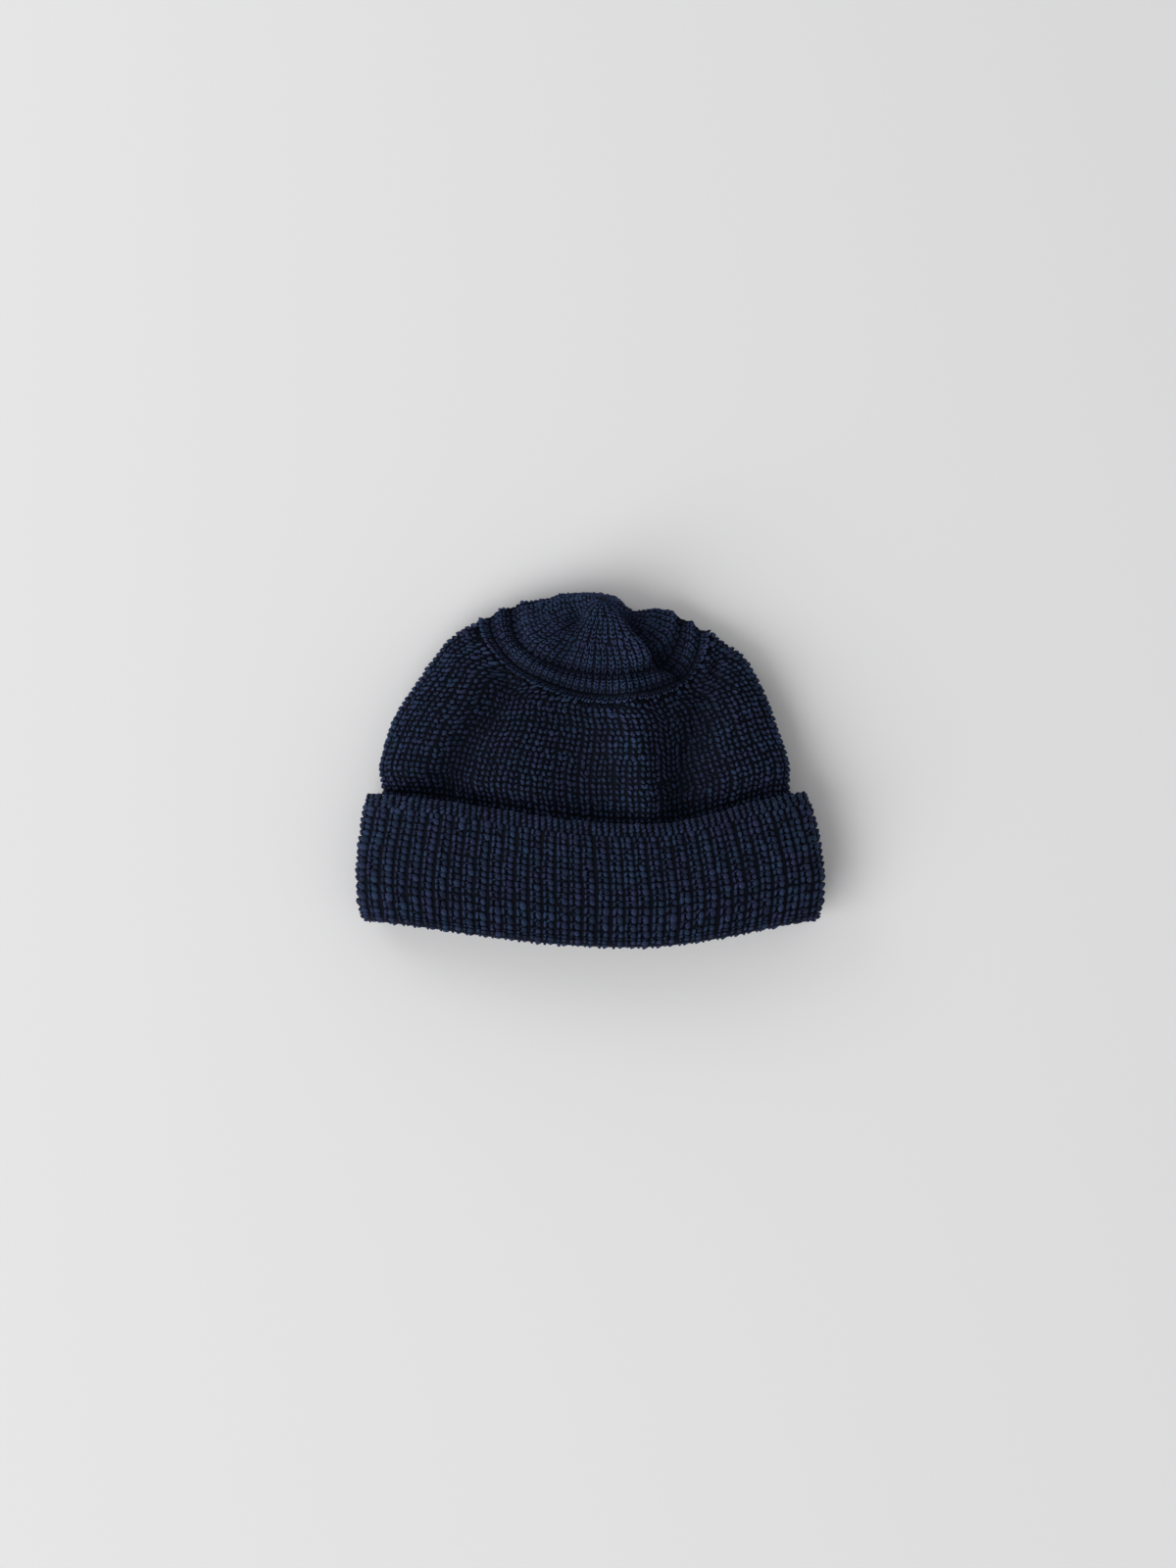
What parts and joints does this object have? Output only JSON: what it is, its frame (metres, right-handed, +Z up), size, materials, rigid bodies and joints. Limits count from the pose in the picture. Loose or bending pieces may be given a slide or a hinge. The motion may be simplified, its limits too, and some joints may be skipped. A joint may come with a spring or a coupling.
{
  "type": "fisherman beanie",
  "caption": "Knitted fisherman beanie with a deep turned-up rib cuff, lying flat on its back: a hollow hat that is open at the mouth, with a gathered crown inside a raised welt.",
  "frame": {"origin": "under the middle of the hat's box, on the surface that it lies on", "axes": "+X across the mouth, to the right in the picture; +Y from the mouth to the crown; +Z up from the surface, out of the hat's front"},
  "size_m": [0.221, 0.1674, 0.0441],
  "materials": {
    "navy_rib_knit": "matt wool, half-cardigan rib",
    "navy_plain_knit": "matt wool, fine plain knit"
  },
  "bodies": {
    "root": {"cuff": "navy_rib_knit", "side_wall": "navy_rib_knit", "welt_ring": "navy_plain_knit", "crown_top": "navy_plain_knit"}
  },
  "joints": []
}
